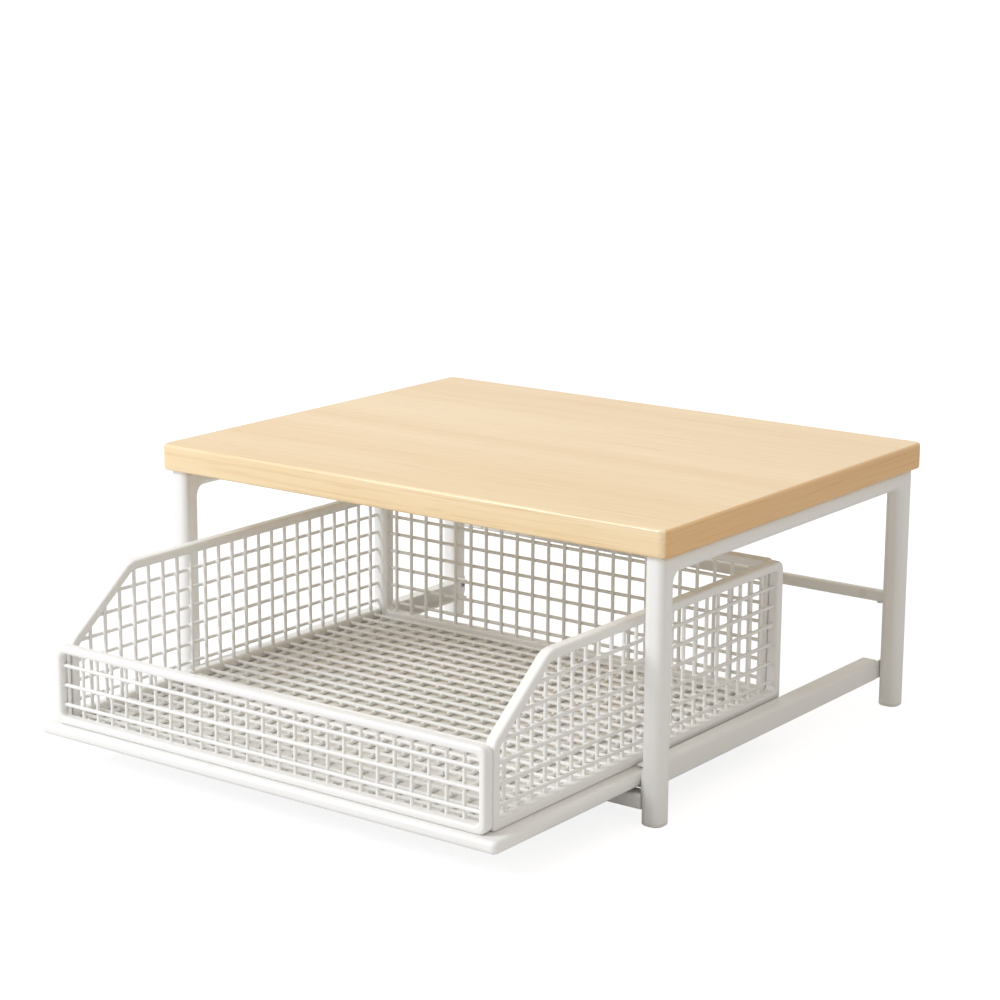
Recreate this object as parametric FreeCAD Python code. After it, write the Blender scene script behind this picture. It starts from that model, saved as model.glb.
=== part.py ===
import FreeCAD, Part
import math
import os
from FreeCAD import Vector

# Microwave stand with a wire basket drawer, in millimetres.
# X runs along the front, Y from front to back and Z up from the floor.
# Pieces are drawn about the middle of the board and moved to the stored frame when they are saved.

# Board
stand_height = 230.0
board_width = 500.0
board_depth = 400.0
board_thick = 22.0
board_corner = 5.0          # radius of the corners in plan
board_round = 3.0           # radius of the top edges
board_under_edge = 1.5      # chamfer of the lower edges

# Side frames, welded from rounded square tube
leg_size = 18.0
leg_inset = 5.0             # from the board's edge to the leg
rail_height = 16.0          # top rail, below the board
tube_round = 5.5
tube_wall = 1.2
window_corner = 8.0         # radius of the web between leg and rail

# Foot plugs
foot_height = 3.0
foot_plug_length = 12.0

# Crossbars
front_bar_depth = 15.0
front_bar_height = 12.0
front_bar_lift = 11.0       # from the floor to its underside
back_bar_depth = 8.0
back_bar_height = 10.0
back_bar_lift = 88.0
bar_round = 2.5
bar_wall = 1.2
stub_length = 14.0          # welded stub that each crossbar slips over

# Runners, one C-shaped channel on each side
runner_lift = 22.0
runner_height = 18.0
runner_width = 13.5
runner_wall = 1.5
runner_bend = 2.5
runner_end_gap = 0.5        # from the flanges' ends to the legs
tab_lap = 6.0               # past the leg's middle line

# Drawer tray, a folded sheet pan
tray_lift = 27.0
tray_height = 10.0
tray_sheet = 1.2
tray_side_gap = 1.5         # between the tray's edge and the runner's web
tray_corner = 5.0
tray_round = 4.0
tray_return = 6.0           # width of the flange turned in under the rim
tray_lip = 5.0              # ahead of the front panel
tray_tail = 4.0             # behind the back panel

# Basket
basket_side_gap = 2.5       # between the basket and the runners' edges
front_panel_proud = 19.5    # the closed front panel stands this far ahead of the board
front_panel_height = 64.5
side_panel_height = 117.0
slope_run = 68.0            # length of the sloping front of each side panel, along Y
front_frame_bar = 6.5       # bar width in the plane of the panel
side_frame_bar = 8.0
frame_depth = 10.0          # bar width through the panel
frame_outer_edge = 2.0      # chamfer of the outer edges
frame_inner_edge = 0.8
front_panel_corner = 7.0
slope_low_bend = 12.0
slope_high_bend = 18.0
rear_top_corner = 8.0
low_corner = 3.0
front_window_round = 2.5

# Welded wire
wire_diameter = 3.0
wire_pitch = 16.7           # side, back and floor meshes
wire_margin = 8.0           # least space from a bar to the first wire
front_upright_pitch = 15.6
front_upright_margin = 1.7
first_level = 15.5          # from the tray to the lowest level wire
level_pitch = 15.9
wire_inset = 0.6            # from the panel's inner face to the inner wires

rod_sides = 6               # flat sides of wires, screws and pins

# Nylon pieces and stops
running_gap = 0.3
shoe_length = 20.0
shoe_setback = 2.0          # from the tray's back edge
peg_radius = 1.4
peg_margin = 30.0           # from the glide strip's ends to its pegs
glide_edge = 1.0            # from the flange's free edge to the glide strip
bumper_radius = 4.0
bumper_thick = 1.2
drawer_out = 145.5          # how far the stored drawer is pulled out
drawer_more = 60.0          # how much further it slides to its stop

# Fasteners
screw_radius = 1.5
screw_head_radius = 2.75
screw_head_height = 1.8
screw_bite = 4.5
board_screw_radius = 2.0
board_screw_head_radius = 4.0
board_screw_head_height = 2.5
board_screw_bite = 13.0
board_screw_margin = 70.0   # from the board's front and back edges
runner_screw_length = 6.0
access_radius = 5.0         # hole below each board screw
pin_radius = 1.2
pin_length = 10.0
pin_margin = 16.0           # from a panel's top and bottom to its corner pins
tray_screw_margin = 70.0    # from a panel's ends to its screws
fit_gap = 0.1               # around screws, pins and plugs
touch_gap = 0.02            # between crossing wires
cut_past = 1.0              # how far cutting shapes run past the faces they cut

# Levels, from the floor up
board_under = stand_height - board_thick
rail_under = board_under - rail_height
tray_top = tray_lift + tray_height
runner_top = runner_lift + runner_height
runner_middle = runner_lift + runner_height / 2
front_panel_top = tray_top + front_panel_height
side_panel_top = tray_top + side_panel_height

# Places along X
leg_outer_x = board_width / 2 - leg_inset
leg_inner_x = leg_outer_x - leg_size
leg_middle_x = leg_outer_x - leg_size / 2
web_inner_x = leg_inner_x - runner_wall
flange_x = leg_inner_x - runner_width
tray_half = web_inner_x - tray_side_gap
basket_half = flange_x - basket_side_gap
basket_inner_half = basket_half - frame_depth

# Places along Y
leg_outer_y = board_depth / 2 - leg_inset
leg_inner_y = leg_outer_y - leg_size
leg_middle_y = leg_outer_y - leg_size / 2
back_bar_y = leg_outer_y - back_bar_depth
back_bar_middle_y = leg_outer_y - back_bar_depth / 2
basket_rear_closed = back_bar_y - bumper_thick - running_gap
basket_rear = basket_rear_closed - drawer_out
basket_depth = basket_rear_closed + board_depth / 2 + front_panel_proud
basket_front = basket_rear - basket_depth
side_panel_front = basket_front + frame_depth
tray_front = basket_front - tray_lip
tray_rear = basket_rear + tray_tail
shoe_rear = tray_rear - tray_return - tray_corner - shoe_setback
shoe_front = shoe_rear - shoe_length
runner_half = leg_inner_y - runner_end_gap
board_screw_y = board_depth / 2 - board_screw_margin
frame_shift = -(tray_front + board_depth / 2) / 2

RIGHT = Vector(1, 0, 0)
BACK = Vector(0, 1, 0)
UP = Vector(0, 0, 1)


def save(name, shape):
    """Write one node, with the origin below the middle of the stored stand."""
    moved = shape.copy()
    moved.translate(Vector(0, frame_shift, 0))
    moved.exportStep("parts/" + name + ".step")


def mirrored(shape):
    return shape.mirror(Vector(0, 0, 0), Vector(1, 0, 0))


def save_pair(name, right_shape):
    save(name + "_right", right_shape)
    save(name + "_left", mirrored(right_shape))


def box(low, high):
    size = [b - a for a, b in zip(low, high)]
    return Part.makeBox(size[0], size[1], size[2], Vector(*low))


def ring(centre, axis, radius, facing):
    """Closed polygon square to the axis, with one flat on the facing side at the radius."""
    spoke = facing * (radius / math.cos(math.pi / rod_sides))
    corners = [
        centre + FreeCAD.Rotation(axis, 360 / rod_sides * (i + 0.5)).multVec(spoke)
        for i in range(rod_sides)
    ]
    return Part.makePolygon(corners + corners[:1])


def rod(start, end, radius, facing=RIGHT):
    """Light many-sided bar between two points, for wire, screws, pins and their holes."""
    run = Vector(*end) - Vector(*start)
    return Part.Face(ring(Vector(*start), run, radius, facing)).extrude(run)


def flat_cut(radius):
    """Straight 45 degree cut that touches a round of this radius at its middle."""
    return radius * (2 - math.sqrt(2))


def rectangle(u_low, v_low, u_high, v_high, radius):
    ends = [(u_low, v_low), (u_high, v_low), (u_high, v_high), (u_low, v_high)]
    return [(u, v, radius) for u, v in ends]


def cut_corners(u_low, v_low, u_high, v_high, cut):
    """Rectangle with its corners cut off at 45 degrees."""
    return [
        (u_low + cut, v_low, 0), (u_high - cut, v_low, 0),
        (u_high, v_low + cut, 0), (u_high, v_high - cut, 0),
        (u_high - cut, v_high, 0), (u_low + cut, v_high, 0),
        (u_low, v_high - cut, 0), (u_low, v_low + cut, 0),
    ]


def inset(corners, width, radius):
    """Move every side of a convex outline inwards, and give all corners one radius."""
    inner = []
    for i, (u, v, _) in enumerate(corners):
        before = corners[i - 1]
        after = corners[(i + 1) % len(corners)]
        side_in = Vector(u - before[0], v - before[1], 0).normalize()
        side_out = Vector(after[0] - u, after[1] - v, 0).normalize()
        turn = side_in.x * side_out.y - side_in.y * side_out.x
        step = (side_out - side_in) * (width / turn)
        inner.append((u + step.x, v + step.y, radius))
    return inner


def outline(corners, at):
    """Closed wire of straight sides and tangent arcs; at() places the flat point in space."""
    edges = []
    ends = []
    for i, (u, v, radius) in enumerate(corners):
        here = Vector(u, v, 0)
        before = (Vector(*corners[i - 1][:2], 0) - here).normalize()
        after = (Vector(*corners[(i + 1) % len(corners)][:2], 0) - here).normalize()
        half_angle = before.getAngle(after) / 2
        reach = radius / math.tan(half_angle)
        start = here + before * reach
        end = here + after * reach
        ends.append((start, end))
        if radius > 0:
            middle_way = (before + after).normalize()
            middle = here + middle_way * (radius / math.sin(half_angle) - radius)
            arc = Part.Arc(at(start), at(middle), at(end))
            edges.append(arc.toShape())
    for i, (start, _) in enumerate(ends):
        last_end = ends[i - 1][1]
        if (start - last_end).Length > 0.001:
            edges.append(Part.makeLine(at(last_end), at(start)))
    return Part.Wire(Part.__sortEdges__(edges))


def prism_x(corners, x_low, x_high):
    """Extrude an outline given as (y, z, radius) along X."""
    wire = outline(corners, lambda p: Vector(x_low, p.x, p.y))
    return Part.Face(wire).extrude(Vector(x_high - x_low, 0, 0))


def prism_y(corners, y_low, y_high):
    """Extrude an outline given as (x, z, radius) along Y."""
    wire = outline(corners, lambda p: Vector(p.x, y_low, p.y))
    return Part.Face(wire).extrude(Vector(0, y_high - y_low, 0))


def prism_z(corners, z_low, z_high):
    """Extrude an outline given as (x, y, radius) along Z."""
    wire = outline(corners, lambda p: Vector(p.x, p.y, z_low))
    return Part.Face(wire).extrude(Vector(0, 0, z_high - z_low))


def fillet_where(shape, radius, chosen):
    return shape.makeFillet(radius, [edge for edge in shape.Edges if chosen(edge.BoundBox)])


def chamfer_where(shape, size, chosen):
    return shape.makeChamfer(size, [edge for edge in shape.Edges if chosen(edge.BoundBox)])


def flat_at(low, high, value):
    return abs(low - value) < 0.001 and abs(high - value) < 0.001


def screw(point, way, shank_radius, shank, head_radius, head_height):
    """Screw whose head seats at the point, with the shank along the way given."""
    seat = Vector(*point)
    head = rod(seat - way * head_height, seat, head_radius)
    return head.fuse(rod(seat, seat + way * shank, shank_radius))


def board_screw_points():
    for side in (-1, 1):
        for y in (-board_screw_y, board_screw_y):
            yield side * leg_middle_x, y


def top_board():
    plan = rectangle(-board_width / 2, -board_depth / 2, board_width / 2, board_depth / 2, board_corner)
    board = prism_z(plan, board_under, stand_height)
    board = fillet_where(board, board_round, lambda b: flat_at(b.ZMin, b.ZMax, stand_height))
    board = chamfer_where(board, board_under_edge, lambda b: flat_at(b.ZMin, b.ZMax, board_under))
    for x, y in board_screw_points():
        low, high = board_under - cut_past, board_under + board_screw_bite + cut_past
        board = board.cut(rod((x, y, low), (x, y, high), board_screw_radius + fit_gap))
    return board


def board_screws():
    seat = board_under - tube_wall
    shank = tube_wall + board_screw_bite
    screws = [
        screw((x, y, seat), UP, board_screw_radius, shank, board_screw_head_radius, board_screw_head_height)
        for x, y in board_screw_points()
    ]
    return Part.makeCompound(screws)


def stub(y, lift, depth, height):
    """Welded block inside the end of a crossbar, drilled for its screw."""
    skin = bar_wall + running_gap
    half = depth / 2 - skin
    low = lift + skin
    block = box(
        (leg_inner_x - stub_length, y - half, low), (leg_inner_x + tube_wall, y + half, lift + height - skin))
    x = leg_inner_x - stub_length / 2
    hole_top = low + screw_bite + cut_past
    return block.cut(rod((x, y, low - cut_past), (x, y, hole_top), screw_radius + fit_gap))


def corner_web(side):
    """Curved web between leg and rail, narrower than the tubes by their rounded edges."""
    low = leg_inner_x + flat_cut(tube_round)
    high = leg_outer_x - flat_cut(tube_round)
    y_low, y_high = sorted((side * leg_inner_y, side * (leg_inner_y - window_corner)))
    block = box((low, y_low, rail_under - window_corner), (high, y_high, rail_under))
    centre = Vector(low - cut_past, side * (leg_inner_y - window_corner), rail_under - window_corner)
    return block.cut(Part.makeCylinder(window_corner, high - low + 2 * cut_past, centre, RIGHT))


def side_frame():
    """Two legs and a top rail as one hollow welded frame, right-hand side."""
    bend = [
        (-leg_outer_y, foot_height, 0), (-leg_inner_y, foot_height, 0), (-leg_inner_y, rail_under, 0),
        (leg_inner_y, rail_under, 0), (leg_inner_y, foot_height, 0), (leg_outer_y, foot_height, 0),
        (leg_outer_y, board_under, 0), (-leg_outer_y, board_under, 0),
    ]
    frame = prism_x(bend, leg_inner_x, leg_outer_x)
    frame = fillet_where(
        frame, tube_round,
        lambda b: abs(b.XMax - b.XMin) < 0.001 and b.ZMax > foot_height + 0.001)
    for side in (-1, 1):
        frame = frame.fuse(corner_web(side))
    bore_cut = flat_cut(tube_round - tube_wall)
    bore_low_x = leg_inner_x + tube_wall
    bore_high_x = leg_outer_x - tube_wall
    for side in (-1, 1):
        y = side * leg_middle_y
        half = leg_size / 2 - tube_wall
        plan = cut_corners(bore_low_x, y - half, bore_high_x, y + half, bore_cut)
        frame = frame.cut(prism_z(plan, foot_height - cut_past, board_under - tube_wall))
    rail_bore = cut_corners(
        bore_low_x, rail_under + tube_wall, bore_high_x, board_under - tube_wall, bore_cut)
    frame = frame.cut(prism_y(rail_bore, -leg_middle_y, leg_middle_y))
    for y in (-board_screw_y, board_screw_y):
        x = leg_middle_x
        access_top = rail_under + tube_wall + cut_past
        frame = frame.cut(rod((x, y, rail_under - cut_past), (x, y, access_top), access_radius))
        hole_low = board_under - tube_wall - cut_past
        frame = frame.cut(rod((x, y, hole_low), (x, y, board_under + cut_past), board_screw_radius + fit_gap))
    for side in (-1, 1):
        start = (leg_inner_x - cut_past, side * leg_middle_y, runner_middle)
        end = (leg_inner_x + tube_wall + cut_past, side * leg_middle_y, runner_middle)
        frame = frame.cut(rod(start, end, screw_radius + fit_gap, UP))
    frame = frame.fuse(stub(-leg_middle_y, front_bar_lift, front_bar_depth, front_bar_height))
    back_stub = stub(back_bar_middle_y, back_bar_lift, back_bar_depth, back_bar_height)
    return frame.fuse(back_stub)


def foot_plug(x, y):
    half = leg_size / 2
    bore_half = half - tube_wall - fit_gap
    pad = prism_z(rectangle(x - half, y - half, x + half, y + half, tube_round), 0, foot_height)
    bore_cut = flat_cut(tube_round - tube_wall)
    plug = cut_corners(x - bore_half, y - bore_half, x + bore_half, y + bore_half, bore_cut)
    return pad.fuse(prism_z(plug, foot_height, foot_height + foot_plug_length))


def crossbar(y, lift, depth, height):
    """Tube between the legs, with a screw hole in its underside at each end."""
    half = depth / 2
    bar = prism_x(rectangle(y - half, lift, y + half, lift + height, bar_round), -leg_inner_x, leg_inner_x)
    bar = bar.cut(box(
        (-leg_inner_x - cut_past, y - half + bar_wall, lift + bar_wall),
        (leg_inner_x + cut_past, y + half - bar_wall, lift + height - bar_wall)))
    for side in (-1, 1):
        x = side * (leg_inner_x - stub_length / 2)
        hole_top = lift + bar_wall + running_gap
        bar = bar.cut(rod((x, y, lift - cut_past), (x, y, hole_top), screw_radius + fit_gap))
    return bar


def crossbar_screws():
    screws = []
    shank = bar_wall + running_gap + screw_bite
    places = ((-leg_middle_y, front_bar_lift), (back_bar_middle_y, back_bar_lift))
    for y, lift in places:
        for side in (-1, 1):
            point = (side * (leg_inner_x - stub_length / 2), y, lift)
            screws.append(screw(point, UP, screw_radius, shank, screw_head_radius, screw_head_height))
    return Part.makeCompound(screws)


def bumper():
    """Round pad on the back crossbar, in line with the side panel's rear bar."""
    x = basket_half - frame_depth / 2
    z = back_bar_lift + back_bar_height / 2
    return rod((x, back_bar_y, z), (x, back_bar_y - bumper_thick, z), bumper_radius)


def glide_peg_places():
    glide_front = -runner_half + shoe_setback
    glide_back = shoe_front - drawer_more - running_gap
    return glide_front, glide_back, (glide_front + peg_margin, glide_back - peg_margin)


def runner():
    """Channel with its open side inwards and a screw tab lapping each leg."""
    outer = [
        (flange_x, runner_lift, 0), (leg_inner_x, runner_lift, runner_bend),
        (leg_inner_x, runner_top, runner_bend), (flange_x, runner_top, 0),
    ]
    inner_bend = runner_bend - runner_wall
    inner = [
        (flange_x - cut_past, runner_lift + runner_wall, 0),
        (web_inner_x, runner_lift + runner_wall, inner_bend),
        (web_inner_x, runner_top - runner_wall, inner_bend),
        (flange_x - cut_past, runner_top - runner_wall, 0),
    ]
    channel = prism_y(outer, -runner_half, runner_half)
    channel = channel.cut(prism_y(inner, -runner_half - cut_past, runner_half + cut_past))
    tab_end = leg_middle_y + tab_lap
    tabs = box(
        (web_inner_x, -tab_end, runner_lift + runner_bend), (leg_inner_x, tab_end, runner_top - runner_bend))
    channel = channel.fuse(tabs).removeSplitter()
    for side in (-1, 1):
        channel = channel.cut(runner_screw_head(side * leg_middle_y, fit_gap))
    for y in glide_peg_places()[2]:
        x = (flange_x + web_inner_x) / 2
        hole_top = runner_lift + runner_wall + cut_past
        channel = channel.cut(rod((x, y, runner_lift - cut_past), (x, y, hole_top), peg_radius + fit_gap))
    return channel


def runner_screw_head(y, gap):
    """Countersunk head as thick as the tab, or with a gap the seat for it."""
    face = Vector(web_inner_x, y, runner_middle)
    root = Vector(leg_inner_x, y, runner_middle)
    outlines = [ring(face, RIGHT, screw_head_radius + gap, UP), ring(root, RIGHT, screw_radius + gap, UP)]
    return Part.makeLoft(outlines, True)


def runner_screws():
    screws = []
    for side in (-1, 1):
        y = side * leg_middle_y
        tip = (web_inner_x + runner_screw_length, y, runner_middle)
        shank = rod((leg_inner_x, y, runner_middle), tip, screw_radius, UP)
        right = runner_screw_head(y, 0).fuse(shank)
        screws += [right, mirrored(right)]
    return Part.makeCompound(screws)


def glide_strip():
    """Nylon strip on the lower flange; its rear end stops the shoe of the open drawer."""
    front, back, pegs = glide_peg_places()
    floor = runner_lift + runner_wall
    strip = box(
        (flange_x + glide_edge, front, floor),
        (web_inner_x - runner_bend + runner_wall, back, tray_lift - running_gap))
    x = (flange_x + web_inner_x) / 2
    for y in pegs:
        strip = strip.fuse(rod((x, y, runner_lift), (x, y, floor), peg_radius))
    return strip.removeSplitter()


def tray_plan(margin, radius):
    return rectangle(
        -tray_half + margin, tray_front + margin, tray_half - margin, tray_rear - margin, radius)


def drawer_tray():
    """Sheet pan: flat top, rounded rim and a flange turned in below."""
    outer = prism_z(tray_plan(0, tray_corner), tray_lift, tray_top)
    outer = fillet_where(outer, tray_round, lambda b: flat_at(b.ZMin, b.ZMax, tray_top))
    outer = chamfer_where(outer, flat_cut(tray_round), lambda b: flat_at(b.ZMin, b.ZMax, tray_lift))
    inner_plan = cut_corners(
        -tray_half + tray_sheet, tray_front + tray_sheet, tray_half - tray_sheet, tray_rear - tray_sheet,
        flat_cut(tray_corner - tray_sheet))
    inner = prism_z(inner_plan, tray_lift + tray_sheet, tray_top - tray_sheet)
    inner = chamfer_where(inner, flat_cut(tray_round - tray_sheet), lambda b: b.ZMax - b.ZMin < 0.001)
    mouth = prism_z(tray_plan(tray_return, 0), tray_lift - cut_past, tray_lift + tray_height / 2)
    tray = outer.cut(inner.fuse(mouth))
    for x, y in tray_screw_points():
        hole_low = tray_top - tray_sheet - cut_past
        tray = tray.cut(rod((x, y, hole_low), (x, y, tray_top + cut_past), screw_radius + fit_gap))
    return tray


def rear_shoe():
    """Nylon shoe hooked around the tray's rim, a running fit between the runner's flanges."""
    low = runner_lift + runner_wall + running_gap
    high = runner_top - runner_wall - running_gap
    body = cut_corners(flange_x, low, web_inner_x - running_gap, high, runner_bend - runner_wall)
    hook_x = tray_half - tray_return - fit_gap
    rim_x = tray_half + fit_gap
    low_cut = flat_cut(tray_round)
    rim = [
        (hook_x, tray_lift - fit_gap, 0), (rim_x - low_cut, tray_lift - fit_gap, 0),
        (rim_x, tray_lift - fit_gap + low_cut, 0), (rim_x, tray_top + fit_gap, tray_round + fit_gap),
        (flange_x - cut_past, tray_top + fit_gap, 0),
        (flange_x - cut_past, tray_top - tray_sheet - fit_gap, 0),
        (hook_x, tray_top - tray_sheet - fit_gap, 0),
    ]
    return prism_y(body, shoe_front, shoe_rear).cut(prism_y(rim, shoe_front - cut_past, shoe_rear + cut_past))


def front_panel_corners():
    return rectangle(-basket_half, tray_top, basket_half, front_panel_top, front_panel_corner)


def side_panel_corners():
    """Side outline as (y, z, radius): low at the front, then a slope up to full height."""
    return [
        (side_panel_front, tray_top, low_corner), (basket_rear, tray_top, low_corner),
        (basket_rear, side_panel_top, rear_top_corner),
        (side_panel_front + slope_run, side_panel_top, slope_high_bend),
        (side_panel_front, front_panel_top, slope_low_bend),
    ]


def back_panel_corners():
    return rectangle(-basket_inner_half, tray_top, basket_inner_half, side_panel_top, low_corner)


def panel_frame(corners, bar, window_round):
    """Frame in the XZ plane, from its outer face at y = 0 to its inner face."""
    window = inset(corners, bar, window_round)
    frame = prism_y(corners, 0, frame_depth).cut(prism_y(window, -cut_past, frame_depth + cut_past))
    frame = chamfer_where(frame, frame_outer_edge, lambda b: flat_at(b.YMin, b.YMax, 0))
    return chamfer_where(frame, frame_inner_edge, lambda b: flat_at(b.YMin, b.YMax, frame_depth))


def wire_places(low, high, pitch=wire_pitch, margin=wire_margin):
    """Evenly pitched places, centred between two bars."""
    count = int((high - low - 2 * margin) / pitch) + 1
    first = (low + high - (count - 1) * pitch) / 2
    return [first + i * pitch for i in range(count)]


def level_places(high):
    """Heights of the level wires, the same on every panel, up to a panel's top bar."""
    count = int((high - wire_margin - tray_top - first_level) / level_pitch) + 1
    return [tray_top + first_level + i * level_pitch for i in range(count)]


def panel_mesh(corners, bar, window_round, pitch=wire_pitch, margin=wire_margin):
    """Upright wires near the panel's inner face and level wires outside them."""
    window = inset(corners, bar, window_round)
    clip = prism_y(window, 0, frame_depth)
    radius = wire_diameter / 2
    upright_y = frame_depth - wire_inset - radius
    level_y = upright_y - wire_diameter - touch_gap
    u_low, u_high = min(p[0] for p in window), max(p[0] for p in window)
    v_low, v_high = min(p[1] for p in window), max(p[1] for p in window)
    wires = [
        rod((u, upright_y, v_low), (u, upright_y, v_high), radius, BACK)
        for u in wire_places(u_low, u_high, pitch, margin)
    ]
    wires += [
        rod((u_low, level_y, v), (u_high, level_y, v), radius, BACK)
        for v in level_places(v_high)
    ]
    return Part.makeCompound([wire.common(clip).Solids[0] for wire in wires])


def at_front(shape):
    placed = shape.copy()
    placed.translate(Vector(0, basket_front, 0))
    return placed


def at_right(shape):
    placed = shape.copy()
    placed.rotate(Vector(0, 0, 0), UP, 90)
    placed.translate(Vector(basket_half, 0, 0))
    return placed


def at_back(shape):
    placed = shape.copy()
    placed.rotate(Vector(0, 0, 0), UP, 180)
    placed.translate(Vector(0, basket_rear, 0))
    return placed


def tray_screw_points():
    """Screws from below the tray into the bottom bars of the four panels."""
    front_y = basket_front + frame_depth / 2
    back_y = basket_rear - frame_depth / 2
    side_x = basket_half - frame_depth / 2
    reach = basket_half - tray_screw_margin
    points = [(x, y) for y in (front_y, back_y) for x in (-reach, reach)]
    for y in (side_panel_front + tray_screw_margin, basket_rear - tray_screw_margin):
        points += [(-side_x, y), (side_x, y)]
    return points


def tray_screws():
    seat = tray_top - tray_sheet
    shank = tray_sheet + screw_bite
    return Part.makeCompound([
        screw((x, y, seat), UP, screw_radius, shank, screw_head_radius, screw_head_height)
        for x, y in tray_screw_points()
    ])


def corner_pin_ends():
    """Dowel pins where the front and back panels meet the side panels."""
    half = pin_length / 2
    ends = []
    front_x = basket_half - front_frame_bar / 2
    low = tray_top + pin_margin
    for side in (-1, 1):
        x = side * front_x
        for z in (low, front_panel_top - pin_margin):
            ends.append(((x, side_panel_front - half, z), (x, side_panel_front + half, z)))
        y = basket_rear - frame_depth / 2
        for z in (low, side_panel_top - pin_margin):
            near, far = basket_inner_half - half, basket_inner_half + half
            ends.append(((side * near, y, z), (side * far, y, z)))
    return ends


def drilled(frame):
    """Cut the holes for the tray screws and the corner pins."""
    for x, y in tray_screw_points():
        hole_top = tray_top + screw_bite + fit_gap
        frame = frame.cut(rod((x, y, tray_top - cut_past), (x, y, hole_top), screw_radius + fit_gap))
    for start, end in corner_pin_ends():
        frame = frame.cut(rod(start, end, pin_radius + fit_gap, UP))
    return frame


def corner_pins():
    return Part.makeCompound([rod(start, end, pin_radius, UP) for start, end in corner_pin_ends()])


def floor_mesh():
    """Two crossed layers of wire lying on the tray between the four panels."""
    radius = wire_diameter / 2
    low = tray_top + radius + touch_gap
    high = low + wire_diameter + touch_gap
    inner_rear = basket_rear - frame_depth
    along = [
        rod((x, side_panel_front, low), (x, inner_rear, low), radius, UP)
        for x in wire_places(-basket_inner_half, basket_inner_half)
    ]
    across = [
        rod((-basket_inner_half, y, high), (basket_inner_half, y, high), radius, UP)
        for y in wire_places(side_panel_front, inner_rear)
    ]
    return Part.makeCompound(along + across)


os.makedirs("parts", exist_ok=True)

save("top_board", top_board())
save("board_screws", board_screws())
save_pair("side_frame", side_frame())
save_pair("foot_plug_front", foot_plug(leg_middle_x, -leg_middle_y))
save_pair("foot_plug_back", foot_plug(leg_middle_x, leg_middle_y))
save("front_crossbar", crossbar(-leg_middle_y, front_bar_lift, front_bar_depth, front_bar_height))
save("back_crossbar", crossbar(back_bar_middle_y, back_bar_lift, back_bar_depth, back_bar_height))
save("crossbar_screws", crossbar_screws())
save_pair("bumper", bumper())
save_pair("runner", runner())
save("runner_screws", runner_screws())
save_pair("glide_strip", glide_strip())
save("drawer_tray", drawer_tray())
save_pair("rear_shoe", rear_shoe())

front_corners = front_panel_corners()
side_corners = side_panel_corners()
back_corners = back_panel_corners()
save("front_panel_frame", drilled(at_front(panel_frame(front_corners, front_frame_bar, front_window_round))))
front_mesh = panel_mesh(
    front_corners, front_frame_bar, front_window_round, front_upright_pitch, front_upright_margin)
save("front_panel_mesh", at_front(front_mesh))
save_pair("side_panel_frame", drilled(at_right(panel_frame(side_corners, side_frame_bar, 0))))
save_pair("side_panel_mesh", at_right(panel_mesh(side_corners, side_frame_bar, 0)))
save("back_panel_frame", drilled(at_back(panel_frame(back_corners, side_frame_bar, 0))))
save("back_panel_mesh", at_back(panel_mesh(back_corners, side_frame_bar, 0)))
save("floor_mesh", floor_mesh())
save("tray_screws", tray_screws())
save("corner_pins", corner_pins())
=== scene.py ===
import bmesh
import bpy
import math
from mathutils import Euler, Matrix, Vector


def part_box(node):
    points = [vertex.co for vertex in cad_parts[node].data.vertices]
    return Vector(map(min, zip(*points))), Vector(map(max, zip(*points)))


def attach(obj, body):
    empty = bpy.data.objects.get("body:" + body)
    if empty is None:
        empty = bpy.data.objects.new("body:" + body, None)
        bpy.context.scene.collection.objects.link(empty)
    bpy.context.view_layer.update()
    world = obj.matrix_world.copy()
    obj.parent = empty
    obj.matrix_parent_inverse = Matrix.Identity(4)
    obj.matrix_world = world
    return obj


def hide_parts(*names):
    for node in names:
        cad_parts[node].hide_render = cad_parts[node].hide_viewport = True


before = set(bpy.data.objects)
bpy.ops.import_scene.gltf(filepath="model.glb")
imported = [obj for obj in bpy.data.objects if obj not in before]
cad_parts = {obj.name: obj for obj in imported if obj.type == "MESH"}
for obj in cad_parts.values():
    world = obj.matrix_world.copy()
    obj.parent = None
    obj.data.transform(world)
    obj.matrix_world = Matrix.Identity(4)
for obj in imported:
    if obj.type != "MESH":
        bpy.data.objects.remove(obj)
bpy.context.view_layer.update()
mm = 0.001
tiny = 0.02 * mm           # places nearer than this count as the same
xAxis, zAxis = 0, 2
xWay, yWay, zWay = Vector((1, 0, 0)), Vector((0, 1, 0)), Vector((0, 0, 1))
print("frame loaded:", len(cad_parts), "nodes")


cameraView = {
    "place": (1.20874, -1.62569, 0.66640),
    "turn": 36.265,        # degrees to the left of straight back
    "tilt": 12.760,        # degrees down
    "roll": 0.368,
    "sensor": 36,
    "lens": 91.945,
    "shift": (0.0007, -0.0135),
    "farEnd": 50,
}
camera = bpy.data.objects.new("camera", bpy.data.cameras.new("camera"))
camera.data.sensor_width = cameraView["sensor"]
camera.data.lens = cameraView["lens"]
camera.data.shift_x, camera.data.shift_y = cameraView["shift"]
camera.data.clip_end = cameraView["farEnd"]
aim = Euler((math.radians(90 - cameraView["tilt"]), 0, math.radians(cameraView["turn"]))).to_matrix()
aim = aim @ Matrix.Rotation(math.radians(cameraView["roll"]), 3, "Z")
camera.matrix_world = Matrix.Translation(cameraView["place"]) @ aim.to_4x4()
bpy.context.scene.collection.objects.link(camera)
bpy.context.scene.camera = camera
bpy.context.scene.view_settings.view_transform = "Standard"


def colour(hexText):
    # from the usual six digits to the linear values that Blender takes
    parts = [int(hexText[i:i + 2], 16) / 255 for i in (0, 2, 4)]
    return [c / 12.92 if c <= 0.04045 else ((c + 0.055) / 1.055) ** 2.4 for c in parts] + [1]


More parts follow.
